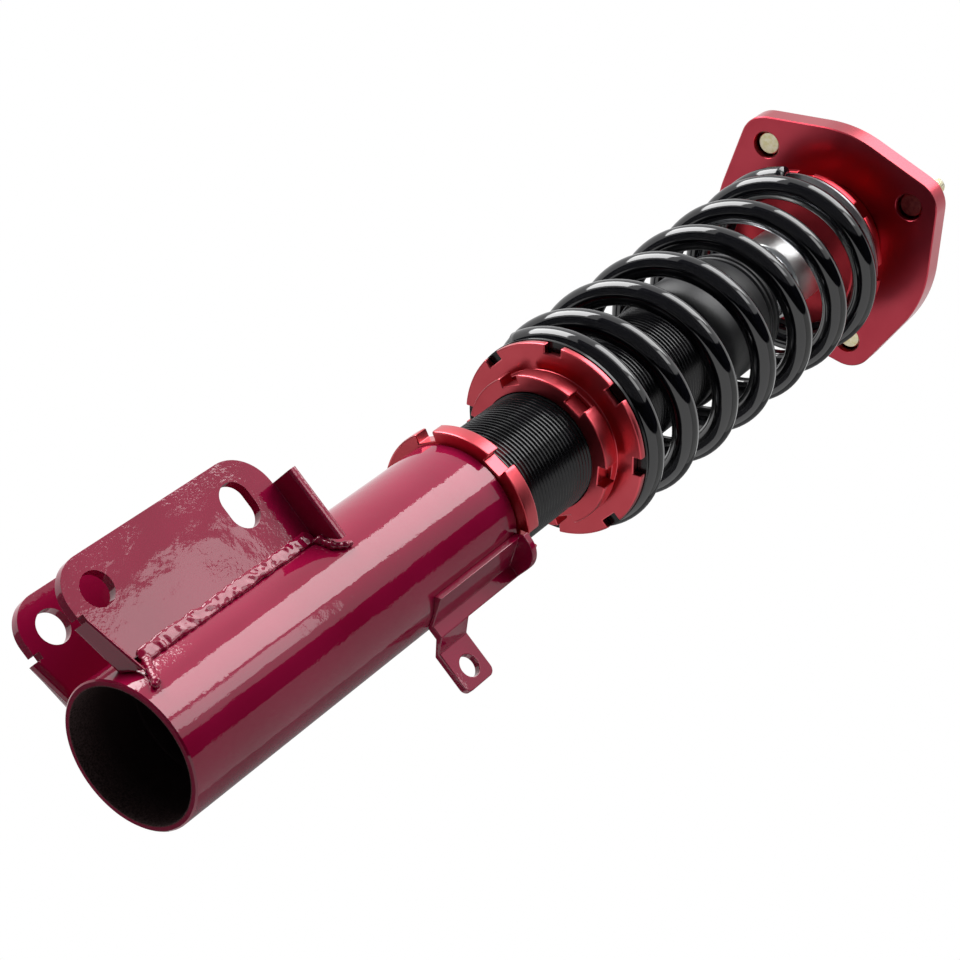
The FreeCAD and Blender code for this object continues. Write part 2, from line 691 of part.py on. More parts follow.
def spring_heading(turns_done):
    step = 1e-5
    low = max(0.0, turns_done - step)
    high = min(size("spring_turns"), turns_done + step)
    heading = spring_point(high) - spring_point(low)
    return heading.normalize()


def arc_from(start, heading, end):
    """The arc that leaves start along heading and reaches end."""
    chord = end - start
    along = FreeCAD.Vector(chord).normalize()
    sideways = heading - along * heading.dot(along)
    turn = math.acos(max(-1.0, min(1.0, heading.dot(along))))
    if turn < 1e-7:
        return Part.LineSegment(start, end).toShape()
    bulge = chord.Length / 2 * math.tan(turn / 2)
    middle = (start + end) * 0.5 + sideways.normalize() * bulge
    return Part.Arc(start, middle, end).toShape()


def biarc(start, heading, end, end_heading):
    """Two arcs that join two points with the given headings and meet without a kink."""
    span = end - start
    both = heading + end_heading
    reach = span.dot(both)
    spread = 2 * (1 - heading.dot(end_heading))
    if spread < 1e-12:
        length = span.dot(span) / (2 * reach)
    else:
        length = (math.sqrt(reach ** 2 + spread * span.dot(span)) - reach) / spread
    joint = (start + end + (heading - end_heading) * length) * 0.5
    joint_heading = (joint - start) - heading * length
    joint_heading = joint_heading.normalize()
    return [arc_from(start, heading, joint), arc_from(joint, joint_heading, end)]


def coil_spring():
    turns = size("spring_turns")
    wire = size("spring_wire_radius")
    legs = max(4, math.ceil(turns * 4))
    stations = [turns * leg / legs for leg in range(legs + 1)]
    edges = []
    for first, second in zip(stations[:-1], stations[1:]):
        edges += biarc(spring_point(first), spring_heading(first),
                       spring_point(second), spring_heading(second))
    path = Part.Wire(edges)
    section = Part.Circle(spring_point(0), spring_heading(0), wire).toShape()
    solid = path.makePipeShell([Part.Wire([section])], True, False)
    gap = min((spring_point(at) - spring_point(at + 1 + drift / 60)).Length
              for at in [turns * step / 200 for step in range(201)]
              for drift in range(-4, 5)
              if 0 <= at + 1 + drift / 60 <= turns) - 2 * wire
    print("coil_spring: least gap to itself %.2f mm over %d arcs" % (gap, len(edges)))
    return solid


spring = doc.addObject("Part::Feature", "coil_spring")
spring.Shape = coil_spring()
spring.Placement = FreeCAD.Placement(FreeCAD.Vector(0, 0, evaluate(SPRING_FOOT)), FreeCAD.Rotation())
nodes.append(spring)

# Piston rod with the parts clamped on its upper stud.
PISTON_STUD = "(shim_stack_height * 2 + piston_height + piston_nut_height)"
ROD_TALL = "(%s - %s + %s)" % (ROD_TIP, ROD_FOOT, PISTON_STUD)
ROD_STEP = "(%s - %s + %s)" % (ROD_SHOULDER, ROD_FOOT, PISTON_STUD)
turned("piston_rod", "(%s - %s)" % (ROD_FOOT, PISTON_STUD), [
    ("0", "0"),
    ("piston_stud_radius", "0"),
    ("piston_stud_radius", PISTON_STUD),
    ("rod_radius", PISTON_STUD),
    ("rod_radius", ROD_STEP),
    ("rod_stud_radius", ROD_STEP),
    ("rod_stud_radius", ROD_TALL + " - tip_chamfer"),
    ("rod_stud_radius - tip_chamfer", ROD_TALL),
    ("0", ROD_TALL),
])
PISTON_BORE = "(piston_stud_radius + rod_stud_clearance)"
REBOUND_FOOT = "(%s - shim_stack_height)" % ROD_FOOT
PISTON_FOOT = "(%s - piston_height)" % REBOUND_FOOT
COMPRESSION_FOOT = "(%s - shim_stack_height)" % PISTON_FOOT
BAND_RADIUS = "(%s - running_clearance)" % BODY_BORE
BAND_BORE = "(%s - piston_band_thickness)" % BAND_RADIUS
BAND_RISE = "((piston_height - piston_band_height) / 2)"
plain_ring("rebound_shims", REBOUND_FOOT, PISTON_BORE, "shim_stack_radius", "shim_stack_height")
turned("piston", PISTON_FOOT, [
    (PISTON_BORE, "0"),
    (BAND_RADIUS + " - piston_land_gap", "0"),
    (BAND_RADIUS + " - piston_land_gap", BAND_RISE),
    (BAND_BORE, BAND_RISE),
    (BAND_BORE, "%s + piston_band_height" % BAND_RISE),
    (BAND_RADIUS + " - piston_land_gap", "%s + piston_band_height" % BAND_RISE),
    (BAND_RADIUS + " - piston_land_gap", "piston_height"),
    (PISTON_BORE, "piston_height"),
])
plain_ring("piston_band", "(%s + %s)" % (PISTON_FOOT, BAND_RISE), BAND_BORE, BAND_RADIUS, "piston_band_height")
plain_ring("compression_shims", COMPRESSION_FOOT, PISTON_BORE, "shim_stack_radius", "shim_stack_height")
plain_ring("piston_nut", "(%s - piston_nut_height)" % COMPRESSION_FOOT, PISTON_BORE,
           "piston_nut_radius", "piston_nut_height")

# Floating piston that parts the oil from the gas.
FLOAT_RADIUS = "(%s - running_clearance)" % BODY_BORE
FLOAT_GROOVE = "(%s - ring_seal_depth)" % FLOAT_RADIUS
FLOAT_RISE = "((floating_piston_height - ring_seal_height) / 2)"
turned("floating_piston", FLOAT_FOOT, [
    ("0", "0"),
    (FLOAT_RADIUS, "0"),
    (FLOAT_RADIUS, FLOAT_RISE),
    (FLOAT_GROOVE, FLOAT_RISE),
    (FLOAT_GROOVE, "%s + ring_seal_height" % FLOAT_RISE),
    (FLOAT_RADIUS, "%s + ring_seal_height" % FLOAT_RISE),
    (FLOAT_RADIUS, "floating_piston_height"),
    ("0", "floating_piston_height"),
])
plain_ring("floating_piston_seal", "(%s + %s)" % (FLOAT_FOOT, FLOAT_RISE),
           FLOAT_GROOVE, FLOAT_RADIUS, "ring_seal_height")

# Stack above the rod's shoulder: bump stop, boot with its washer and cup, spacer, upper spring seat.
plain_ring("bump_stop", "(%s - bump_stop_height)" % ROD_SHOULDER, "(rod_radius + rod_stud_clearance)",
           "bump_stop_radius", "bump_stop_height")
plain_ring("boot_washer", ROD_SHOULDER, STUD_BORE, "boot_washer_radius", "boot_washer_thickness")
turned("boot_cup", BOOT_CUP_FOOT, [
    (STUD_BORE, "0"),
    ("boot_cup_radius", "0"),
    ("boot_cup_radius", "boot_cup_height - ring_edge_break"),
    ("boot_cup_radius - ring_edge_break", "boot_cup_height"),
    (STUD_BORE, "boot_cup_height"),
])
turned("rod_spacer", SPACER_FOOT, [
    (STUD_BORE, "0"),
    ("spacer_radius - ring_edge_break", "0"),
    ("spacer_radius", "ring_edge_break"),
    ("spacer_radius", "spacer_height"),
    (STUD_BORE, "spacer_height"),
])
SEAT_TALL = "(seat_hub_drop + seat_flange_thickness + seat_neck_height)"
seat = turned("upper_seat", SEAT_FOOT, [
    (STUD_BORE, "0"),
    ("seat_hub_radius - ring_edge_break", "0"),
    ("seat_hub_radius", "ring_edge_break"),
    ("seat_hub_radius", "seat_hub_drop"),
    ("seat_flange_radius - ring_edge_break", "seat_hub_drop"),
    ("seat_flange_radius", "seat_hub_drop + ring_edge_break"),
    ("seat_flange_radius", "seat_hub_drop + seat_flange_thickness"),
    ("seat_hub_radius", "seat_hub_drop + seat_flange_thickness"),
    ("seat_hub_radius", SEAT_TALL),
    (STUD_BORE, SEAT_TALL),
])
cut_notches(seat, "perch_notch_count", "perch_notch_width", "perch_notch_depth",
            "seat_flange_radius", "perch_notch_angle")

# Rubber boot: a plain skirt that slides over the body's head, then round ribs up to its washer.
BOOT_TALL = "(%s - %s)" % (ROD_SHOULDER, BOOT_FOOT)
BOOT_BORE = "(%s + boot_slide_gap)" % THREAD_RADIUS
BOOT_RADIUS = "(%s + boot_wall)" % BOOT_BORE
boot_outside = [(BOOT_BORE, "0"), (BOOT_RADIUS, "0")]
boot_inside = []
for rib in range(int(size("boot_rib_count"))):
    low = "(%s - (boot_rib_count - %d) * boot_rib_pitch)" % (BOOT_TALL, rib)
    boot_outside += [
        (BOOT_RADIUS, low),
        (BOOT_RADIUS + " - boot_groove_depth", low + " + boot_rib_pitch * boot_flank_share"),
        (BOOT_RADIUS, low + " + boot_rib_pitch * boot_flank_share * 2"),
    ]
    boot_inside += [
        (BOOT_BORE, low),
        (BOOT_BORE + " - boot_groove_depth", low + " + boot_rib_pitch * boot_flank_share"),
        (BOOT_BORE, low + " + boot_rib_pitch * boot_flank_share * 2"),
    ]
boot_top = [
    (BOOT_RADIUS, BOOT_TALL + " + boot_washer_thickness"),
    ("boot_washer_radius + boot_grip_gap", BOOT_TALL + " + boot_washer_thickness"),
    ("boot_washer_radius + boot_grip_gap", BOOT_TALL),
    (BOOT_BORE, BOOT_TALL + " - boot_wall / 2"),
]
turned("dust_boot", BOOT_FOOT, boot_outside + boot_top + boot_inside[::-1])

# Top mount: lobed plate, spherical bearing with its ring, and three studs.
plate = turned("top_plate", PLATE_FOOT, [
    ("bearing_lip_radius", "0"),
    ("plate_disc_radius", "0"),
    ("plate_disc_radius", "plate_thickness"),
    ("boss_radius", "plate_thickness"),
    ("boss_radius", "plate_thickness + boss_height"),
    ("bearing_bore_radius", "plate_thickness + boss_height"),
    ("bearing_bore_radius", "plate_thickness + boss_height - bearing_height - retaining_ring_thickness"),
    ("bearing_lip_radius", "plate_thickness + boss_height - bearing_height - retaining_ring_thickness"),
], keep=False)
SHARE = "((plate_disc_radius - stud_lobe_radius) / stud_circle_radius)"
RISE = "sqrt(1 - %s ^ 2)" % SHARE
STUD_ANGLES = ("stud_angle_one", "stud_angle_two", "stud_angle_three")


def plate_lobe(angle):
    """One lobe of the plate: tangent lines from the disc to a round end about the stud."""
    name = "top_plate_" + angle
    lobe = new_sketch(plate, name, "XY_Plane")
    bind(lobe, "AttachmentOffset.Rotation.Angle", angle)
    closed_outline(lobe, [
        ("bearing_bore_radius + bearing_wall", "0"),
        ("plate_disc_radius * %s" % SHARE, "-plate_disc_radius * %s" % RISE),
        ("stud_circle_radius + stud_lobe_radius * %s" % SHARE, "-stud_lobe_radius * %s" % RISE),
        ("stud_circle_radius + stud_lobe_radius * %s" % SHARE, "stud_lobe_radius * %s" % RISE),
        ("plate_disc_radius * %s" % SHARE, "plate_disc_radius * %s" % RISE),
    ])
    pad = plate.newObject("PartDesign::Pad", name + "_pad")
    pad.Profile = lobe
    bind(pad, "Length", "plate_thickness")
    end = new_sketch(plate, name + "_end", "XY_Plane")
    bind(end, "AttachmentOffset.Rotation.Angle", angle)
    bolt_hole(end, "stud_circle_radius", "0", "stud_lobe_radius")
    pad = plate.newObject("PartDesign::Pad", name + "_end_pad")
    pad.Profile = end
    bind(pad, "Length", "plate_thickness")


def stud_seat(angle):
    """The counterbored hole that a stud's head is sunk in."""
    name = "top_plate_" + angle
    for kind, radius, depth in (("recess", "stud_recess_radius", "stud_recess_depth"),
                                ("bore", "stud_shank_radius + rod_stud_clearance", "plate_thickness")):
        ring = new_sketch(plate, "%s_%s" % (name, kind), "XY_Plane")
        bind(ring, "AttachmentOffset.Rotation.Angle", angle)
        bolt_hole(ring, "stud_circle_radius", "0", radius)
        pocket = plate.newObject("PartDesign::Pocket", "%s_%s_cut" % (name, kind))
        pocket.Profile = ring
        bind(pocket, "Length", depth)
        pocket.Reversed = True
        plate.Tip = pocket


for angle in STUD_ANGLES:
    plate_lobe(angle)
for angle in STUD_ANGLES:
    stud_seat(angle)
nodes.append(plate)

BEARING_RING_FOOT = "(%s + plate_thickness + boss_height - retaining_ring_thickness)" % PLATE_FOOT
BEARING_FOOT = "(%s - bearing_height)" % BEARING_RING_FOOT
BALL_CENTRE = "(%s + bearing_height / 2)" % BEARING_FOOT
race_blank = cylinder("race_blank", "bearing_bore_radius - rod_stud_clearance", "bearing_height", BEARING_FOOT)
race_hollow = doc.addObject("Part::Sphere", "race_hollow")
bind(race_hollow, "Radius", "bearing_ball_radius + running_clearance")
bind(race_hollow, "Placement.Base.z", BALL_CENTRE)
cut("bearing_race", race_blank, race_hollow, keep=True)

ball = doc.addObject("Part::Sphere", "ball_blank")
bind(ball, "Radius", "bearing_ball_radius")
bind(ball, "Placement.Base.z", BALL_CENTRE)
slab = cylinder("ball_slab", "bearing_ball_radius", "bearing_height", BEARING_FOOT)
band = doc.addObject("Part::Common", "ball_band")
band.Base = ball
band.Tool = slab
sleeve = cylinder("ball_sleeve", "bearing_sleeve_radius", "%s - %s" % (SLEEVE_HEAD, SEAT_HEAD), SEAT_HEAD)
whole = doc.addObject("Part::Fuse", "ball_and_sleeve")
whole.Base = band
whole.Tool = sleeve
ball_bore = cylinder("ball_bore", STUD_BORE, "%s - %s" % (SLEEVE_HEAD, SEAT_HEAD), SEAT_HEAD)
cut("bearing_ball", whole, ball_bore, keep=True)

plain_ring("bearing_ring", BEARING_RING_FOOT,
           "(bearing_bore_radius - rod_stud_clearance - retaining_ring_width)",
           "(bearing_bore_radius - rod_stud_clearance)", "retaining_ring_thickness")
plain_ring("top_washer", SLEEVE_HEAD, STUD_BORE, "top_washer_radius", "top_washer_thickness")
nut_blank = doc.addObject("Part::Prism", "top_nut_blank")
nut_blank.Polygon = 6
bind(nut_blank, "Circumradius", "top_nut_radius")
bind(nut_blank, "Height", "top_nut_height")
bind(nut_blank, "Placement.Base.z", "%s + top_washer_thickness" % SLEEVE_HEAD)
nut_bore = cylinder("top_nut_bore", STUD_BORE, "top_nut_height", "%s + top_washer_thickness" % SLEEVE_HEAD)
cut("top_nut", nut_blank, nut_bore, keep=True)

STUD_STEP = "(plate_thickness - stud_recess_depth + stud_head_height)"
STUD_TIP = "(%s + stud_stickout)" % STUD_STEP
stud = turned("stud_blank", "0", [
    ("0", "0"),
    ("stud_head_radius - ring_edge_break", "0"),
    ("stud_head_radius", "ring_edge_break"),
    ("stud_head_radius", "stud_head_height"),
    ("stud_shank_radius", "stud_head_height"),
    ("stud_shank_radius", STUD_STEP),
    ("stud_radius", STUD_STEP),
    ("stud_radius", STUD_TIP + " - tip_chamfer"),
    ("stud_radius - tip_chamfer", STUD_TIP),
    ("0", STUD_TIP),
], keep=False)
doc.recompute()
copies = []
for angle in STUD_ANGLES:
    copy = stud.Shape.copy()
    turn = math.radians(size(angle))
    copy.Placement = FreeCAD.Placement(FreeCAD.Vector(
        size("stud_circle_radius") * math.cos(turn),
        size("stud_circle_radius") * math.sin(turn),
        evaluate(PLATE_FOOT + " + stud_recess_depth - stud_head_height")), FreeCAD.Rotation())
    copies.append(copy)
studs = doc.addObject("Part::Feature", "mount_studs")
studs.Shape = Part.makeCompound(copies)
nodes.append(studs)

doc.recompute()

for item in doc.Objects:
    if "Invalid" in item.State or "Error" in item.State:
        raise RuntimeError("%s did not build: %s" % (item.Name, item.State))
for node in nodes:
    if node.Shape.isNull() or not node.Shape.isValid():
        raise RuntimeError("%s has no valid shape" % node.Label)

os.makedirs("parts", exist_ok=True)
for node in nodes:
    node.Shape.exportStep("parts/%s.step" % node.Label)
    print("%-24s %10.1f mm3" % (node.Label, node.Shape.Volume))
print("%d nodes" % len(nodes))
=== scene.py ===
import bmesh
import bpy
import math
from mathutils import Matrix, Vector, noise

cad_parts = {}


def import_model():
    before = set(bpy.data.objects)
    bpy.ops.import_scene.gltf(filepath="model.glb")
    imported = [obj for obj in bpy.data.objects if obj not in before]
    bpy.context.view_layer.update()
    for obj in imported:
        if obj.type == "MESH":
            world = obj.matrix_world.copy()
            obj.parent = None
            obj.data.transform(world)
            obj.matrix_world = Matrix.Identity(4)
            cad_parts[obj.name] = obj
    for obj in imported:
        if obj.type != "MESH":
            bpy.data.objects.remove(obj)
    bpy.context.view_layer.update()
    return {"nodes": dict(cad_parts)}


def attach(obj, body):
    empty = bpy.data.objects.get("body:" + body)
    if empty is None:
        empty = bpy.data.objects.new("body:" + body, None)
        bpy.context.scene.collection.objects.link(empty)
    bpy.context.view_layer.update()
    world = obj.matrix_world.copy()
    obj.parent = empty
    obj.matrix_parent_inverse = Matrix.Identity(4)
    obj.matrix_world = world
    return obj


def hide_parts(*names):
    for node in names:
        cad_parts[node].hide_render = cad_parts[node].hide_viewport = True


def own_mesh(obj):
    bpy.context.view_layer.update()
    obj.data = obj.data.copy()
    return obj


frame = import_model()

MM = 0.001
TURN = 2 * math.pi
nodes = frame["nodes"]


# Materials


def hex_colour(text):
    """A linear colour from an sRGB hex value."""
    parts = [int(text[index:index + 2], 16) / 255 for index in (1, 3, 5)]
    linear = [part / 12.92 if part <= 0.04045 else ((part + 0.055) / 1.055) ** 2.4 for part in parts]
    return (*linear, 1.0)


def add_node(tree, kind, inputs=None, **settings):
    """Adds a node, sets its properties, and sets or links its inputs."""
    node = tree.nodes.new(kind)
    for name, value in settings.items():
        setattr(node, name, value)
    for name, value in (inputs or {}).items():
        socket = node.inputs[name]
        if isinstance(value, bpy.types.NodeSocket):
            tree.links.new(value, socket)
        else:
            socket.default_value = value
    return node


def empty_material(name):
    """A material with an empty node tree."""
    material = bpy.data.materials.new(name)
    material.use_nodes = True
    material.node_tree.nodes.clear()
    return material


def new_material(name):
    """A material with its surface shader, and the place on the object that every texture is read at."""
    material = empty_material(name)
    tree = material.node_tree
    surface = add_node(tree, "ShaderNodeBsdfPrincipled")
    add_node(tree, "ShaderNodeOutputMaterial", {"Surface": surface.outputs["BSDF"]})
    place = add_node(tree, "ShaderNodeTexCoord").outputs["Object"]
    return material, tree, surface, place


def set_surface(surface, values):
    """Sets sockets of the shader that hold one value all over the surface."""
    for name, value in values.items():
        surface.inputs[name].default_value = value


def blend(tree, factor, first, second):
    """Mixes two colours, each a hex value or the output of another node."""
    mix = add_node(tree, "ShaderNodeMix", {"Factor": factor}, data_type="RGBA")
    for socket, colour in ((mix.inputs[6], first), (mix.inputs[7], second)):
        if isinstance(colour, str):
            socket.default_value = hex_colour(colour)
        else:
            tree.links.new(colour, socket)
    return mix.outputs[2]


def ramp(tree, factor, low, high, dark=0.0, bright=1.0):
    """Maps low..high of a factor to dark..bright, held at both ends."""
    scaled = add_node(tree, "ShaderNodeMapRange", {
        "Value": factor, "From Min": low, "From Max": high, "To Min": dark, "To Max": bright})
    return scaled.outputs["Result"]


def grain(tree, place, size_mm, detail=3.0, roughness=0.55):
    """Noise whose blobs are about size_mm across."""
    spot = add_node(tree, "ShaderNodeTexNoise", {
        "Vector": place, "Scale": 1 / (size_mm * MM), "Detail": detail, "Roughness": roughness})
    return spot.outputs["Fac"]


def bump(tree, height, strength, depth_mm, under=None):
    """A normal raised by a height, on top of another normal if one is given."""
    inputs = {"Height": height, "Strength": strength, "Distance": depth_mm * MM}
    if under is not None:
        inputs["Normal"] = under
    return add_node(tree, "ShaderNodeBump", inputs).outputs["Normal"]


def calculate(tree, kind, first, second=0.0):
    """The result of one sum in the node tree."""
    return add_node(tree, "ShaderNodeMath", {0: first, 1: second}, operation=kind).outputs[0]


def waves(tree, distance, length_mm):
    """A sine of a distance with the given wavelength."""
    return calculate(tree, "SINE", calculate(tree, "MULTIPLY", distance, TURN / (length_mm * MM)))


def girth_and_height(tree, place):
    """Distance from the strut's axis and height up it, in metres."""
    split = add_node(tree, "ShaderNodeSeparateXYZ", {"Vector": place})
    across = calculate(tree, "POWER", split.outputs["X"], 2.0)
    along = calculate(tree, "POWER", split.outputs["Y"], 2.0)
    girth = calculate(tree, "SQRT", calculate(tree, "ADD", across, along))
    return girth, split.outputs["Z"]


def crimson_lacquer(name, bore_radius=None, peel=1.0):
    """Clear-coated metallic powder over welded steel: deep crimson under a wet, faintly rippled skin.

    The ripple of the cured powder is a few millimetres wide and breaks the edges of each reflection.
    Its height is scaled by peel. Inside a bore the paint thins out over dark bare steel.
    """
    material, tree, surface, place = new_material(name)
    drift = ramp(tree, grain(tree, place, 60, 2.0), 0.35, 0.65)
    colour = blend(tree, drift, "#8B0A34", "#98103D")
    set_surface(surface, {"Metallic": 0.12, "Roughness": 0.42, "Specular IOR Level": 0.0,
                          "Coat Weight": 1.0, "Coat Roughness": 0.04, "Coat IOR": 1.5})
    sag = bump(tree, grain(tree, place, 13.0, 1.5), 0.6, 0.25 * peel)
    ripple = bump(tree, grain(tree, place, 5.0, 1.5), 0.2, 0.12 * peel, sag)
    patches = ramp(tree, grain(tree, place, 34, 1.0), 0.44, 0.56, 0.25, 1.0)
    pebble = calculate(tree, "MULTIPLY", grain(tree, place, 1.6, 2.0), patches)
    skin = bump(tree, pebble, 0.5, 0.08 * peel, ripple)
    tree.links.new(skin, surface.inputs["Coat Normal"])
    tree.links.new(ripple, surface.inputs["Normal"])
    if bore_radius is None:
        tree.links.new(colour, surface.inputs["Base Color"])
        return material
    girth, height = girth_and_height(tree, place)
    inside = ramp(tree, girth, bore_radius + 0.7 * MM, bore_radius + 0.1 * MM)
    # The bare steel grows lighter and speckled towards the bore's open end, over its last 16 mm.
    towards_mouth = ramp(tree, height, 16 * MM, 1 * MM)
    speckle = ramp(tree, grain(tree, place, 0.7, 3.0, 0.6), 0.35, 0.75)
    mouth_speckle = calculate(tree, "MULTIPLY", towards_mouth, speckle)
    bare = blend(tree, mouth_speckle, "#3A2E2E", "#6E5A58")
    tree.links.new(blend(tree, inside, colour, bare), surface.inputs["Base Color"])
    tree.links.new(ramp(tree, inside, 0.0, 1.0, 1.0, 0.0), surface.inputs["Coat Weight"])
    tree.links.new(ramp(tree, inside, 0.0, 1.0, 0.34, 0.7), surface.inputs["Roughness"])
    return material


def red_anodising(name, first, second, ring_mm, sheen):
    """Turned aluminium, bead-blasted and dyed red in the anodising bath: satin metal with faint tool rings.

    The sealed oxide over the dye adds a pale sheen of its own.
    """
    material, tree, surface, place = new_material(name)
    drift = ramp(tree, grain(tree, place, 22, 2.0), 0.3, 0.7)
    tree.links.new(blend(tree, drift, first, second), surface.inputs["Base Color"])
    set_surface(surface, {"Metallic": 1.0, "Roughness": 0.3, "Coat Weight": sheen, "Coat Roughness": 0.24})
    girth, height = girth_and_height(tree, place)
    tool = calculate(tree, "ADD", waves(tree, girth, ring_mm), waves(tree, height, ring_mm))
    rings = bump(tree, tool, 0.05, 0.01)
    blast = bump(tree, grain(tree, place, 0.5, 2.0), 0.12, 0.02, rings)
    tree.links.new(blast, surface.inputs["Normal"])
    return material


def black_spring_paint(name):
    """Gloss black powder on spring steel: near black, with long soft reflections down each turn of wire."""
    material, tree, surface, place = new_material(name)
    drift = ramp(tree, grain(tree, place, 30, 2.0), 0.3, 0.7)
    tree.links.new(blend(tree, drift, "#07070B", "#0B0B11"), surface.inputs["Base Color"])
    set_surface(surface, {"Roughness": 0.07, "Specular IOR Level": 0.72})
    ripple = bump(tree, grain(tree, place, 6.0, 1.5), 0.06, 0.08)
    tree.links.new(bump(tree, grain(tree, place, 1.2, 1.0), 0.08, 0.02, ripple), surface.inputs["Normal"])
    return material


def black_thread_finish(name):
    """Black-oxided steel thread: dark satin metal whose ridges each catch a thin line of light."""
    material, tree, surface, place = new_material(name)
    drift = ramp(tree, grain(tree, place, 9), 0.3, 0.7)
    tree.links.new(blend(tree, drift, "#0A0A0C", "#131316"), surface.inputs["Base Color"])
    set_surface(surface, {"Metallic": 0.3, "Roughness": 0.2})
    tree.links.new(bump(tree, grain(tree, place, 0.4, 2.0), 0.08, 0.02), surface.inputs["Normal"])
    return material


def moulded_rubber(name, first, second):
    """Moulded rubber or plastic: matte, with a soft sheen and a little bloom between its two tones."""
    material, tree, surface, place = new_material(name)
    drift = ramp(tree, grain(tree, place, 12), 0.35, 0.7)
    tree.links.new(blend(tree, drift, first, second), surface.inputs["Base Color"])
    set_surface(surface, {"Roughness": 0.42, "Specular IOR Level": 0.45})
    tree.links.new(bump(tree, grain(tree, place, 0.6, 2.0), 0.1, 0.02), surface.inputs["Normal"])
    return material


def thread_lines(tree, height, from_mm, pitch_mm, under):
    """Fine screw thread above a height, drawn as rings in the bump."""
    cut = ramp(tree, height, from_mm * MM, (from_mm + 0.6) * MM)
    return bump(tree, calculate(tree, "MULTIPLY", waves(tree, height, pitch_mm), cut), 0.7, 0.3, under)


def bright_metal(name, first, second, roughness, size_mm=14, thread_mm=None):
    """A bright turned metal with fine tool lines: plated, ground or bare by its colours and roughness."""
    material, tree, surface, place = new_material(name)
    drift = ramp(tree, grain(tree, place, size_mm), 0.35, 0.65)
    tree.links.new(blend(tree, drift, first, second), surface.inputs["Base Color"])
    set_surface(surface, {"Metallic": 1.0, "Roughness": roughness})
    girth, height = girth_and_height(tree, place)
    lines = bump(tree, waves(tree, girth, 0.5), 0.03, 0.01)
    if thread_mm is not None:
        lines = thread_lines(tree, height, thread_mm, 1.5, lines)
    tree.links.new(lines, surface.inputs["Normal"])
    return material


def yellow_zinc_plating(name):
    """Passivated zinc: creamy yellow, mottled like frost, with painted shade browning the head of the stud
    towards +Y.
    """
    material, tree, surface, place = new_material(name)
    frost = ramp(tree, grain(tree, place, 2.2), 0.35, 0.65)
    cream = blend(tree, frost, "#E3D9A6", "#F3ECD2")
    # Painted shade: the head of the stud towards +Y is browned reddish to stand in for the shade in its
    # counterbore.
    painted_shade_tone = blend(tree, frost, "#7A3B3E", "#9A5856")
    split = add_node(tree, "ShaderNodeSeparateXYZ", {"Vector": place})
    towards = ramp(tree, split.outputs["Y"], 26 * MM, 30 * MM)
    below = ramp(tree, split.outputs["Z"], 486 * MM, 484 * MM)
    painted_shade_mask = calculate(tree, "MULTIPLY", towards, below)
    tree.links.new(blend(tree, painted_shade_mask, cream, painted_shade_tone), surface.inputs["Base Color"])
    set_surface(surface, {"Metallic": 1.0, "Roughness": 0.38})
    pitted = bump(tree, grain(tree, place, 0.9, 2.0), 0.15, 0.04)
    tree.links.new(thread_lines(tree, split.outputs["Z"], 486.5, 1.25, pitted), surface.inputs["Normal"])
    return material


HOUSING = crimson_lacquer("crimson_lacquer_on_steel_plate")
WELD = crimson_lacquer("crimson_lacquer_on_weld", peel=0.8)
TUBE = crimson_lacquer("crimson_lacquer_on_steel_tube", 25.5 * MM)
RED = red_anodising("red_anodised_aluminium", "#C03C47", "#CA4852", 0.55, 0.5)
# Painted light: the seat's copy of the anodising is a more saturated red than the rings', standing in for
# red light bounced onto it between the parts.
SEAT_RED_PAINTED_BOUNCE = red_anodising("red_anodised_seat_painted_bounce", "#C02A38", "#CC3843", 0.55, 0.25)
PLATE_RED = red_anodising("red_anodised_plate", "#A6293A", "#B13443", 0.8, 0.4)
SPRING = black_spring_paint("black_powder_on_spring_steel")
THREAD = black_thread_finish("black_oxide_thread")
RUBBER = moulded_rubber("moulded_boot_rubber", "#141416", "#1E1E21")
SEAL = moulded_rubber("nitrile_seal_rubber", "#101010", "#181818")
FOAM = moulded_rubber("cellular_polyurethane", "#C9BE93", "#D8CEA6")
CHROME = bright_metal("hard_chrome", "#DDE0E5", "#EBEDF0", 0.2, thread_mm=494)
BARE = bright_metal("ground_steel", "#A9AAAD", "#C4C5C7", 0.28)
ZINC = yellow_zinc_plating("yellow_zinc_plating")
NUT = bright_metal("zinc_plated_nut", "#D9CD95", "#E6DDB8", 0.36, 2.2)
SATIN = bright_metal("satin_turned_aluminium", "#E3E5E4", "#F0F1F0", 0.33)
TURNED = bright_metal("turned_aluminium", "#C7C9CC", "#D8DADC", 0.25)
BAND = moulded_rubber("filled_ptfe_band", "#3A352E", "#4A443B")

FINISHES = {
    TUBE: ["strut_tube"],
    HOUSING: ["knuckle_plate_left", "knuckle_plate_right", "knuckle_weld_left", "knuckle_weld_right",
              "hose_bracket"],
    RED: ["body_lock_ring", "perch_lock_ring", "spring_perch"],
    SEAT_RED_PAINTED_BOUNCE: ["upper_seat"],
    PLATE_RED: ["top_plate"],
    SPRING: ["coil_spring"],
    THREAD: ["damper_body", "lower_washer"],
    RUBBER: ["dust_boot"],
    SEAL: ["rod_seal", "floating_piston_seal"],
    FOAM: ["bump_stop"],
    CHROME: ["piston_rod", "boot_washer", "boot_cup"],
    SATIN: ["rod_spacer"],
    BARE: ["upper_washer", "rebound_shims", "compression_shims", "piston_nut", "base_plug",
           "bearing_race", "bearing_ball", "bearing_ring", "top_washer"],
    ZINC: ["mount_studs"],
    NUT: ["top_nut"],
    TURNED: ["rod_gland", "piston", "floating_piston"],
    BAND: ["piston_band"],
}


def dress(thing, material):
    """Gives a piece one material all over."""
    thing.data.materials.clear()
    thing.data.materials.append(material)


for finish, names in FINISHES.items():
    for name in names:
        dress(nodes[name], finish)


# Pieces

SAME_POINT = 1e-7
SAME_CORNER = 2e-6


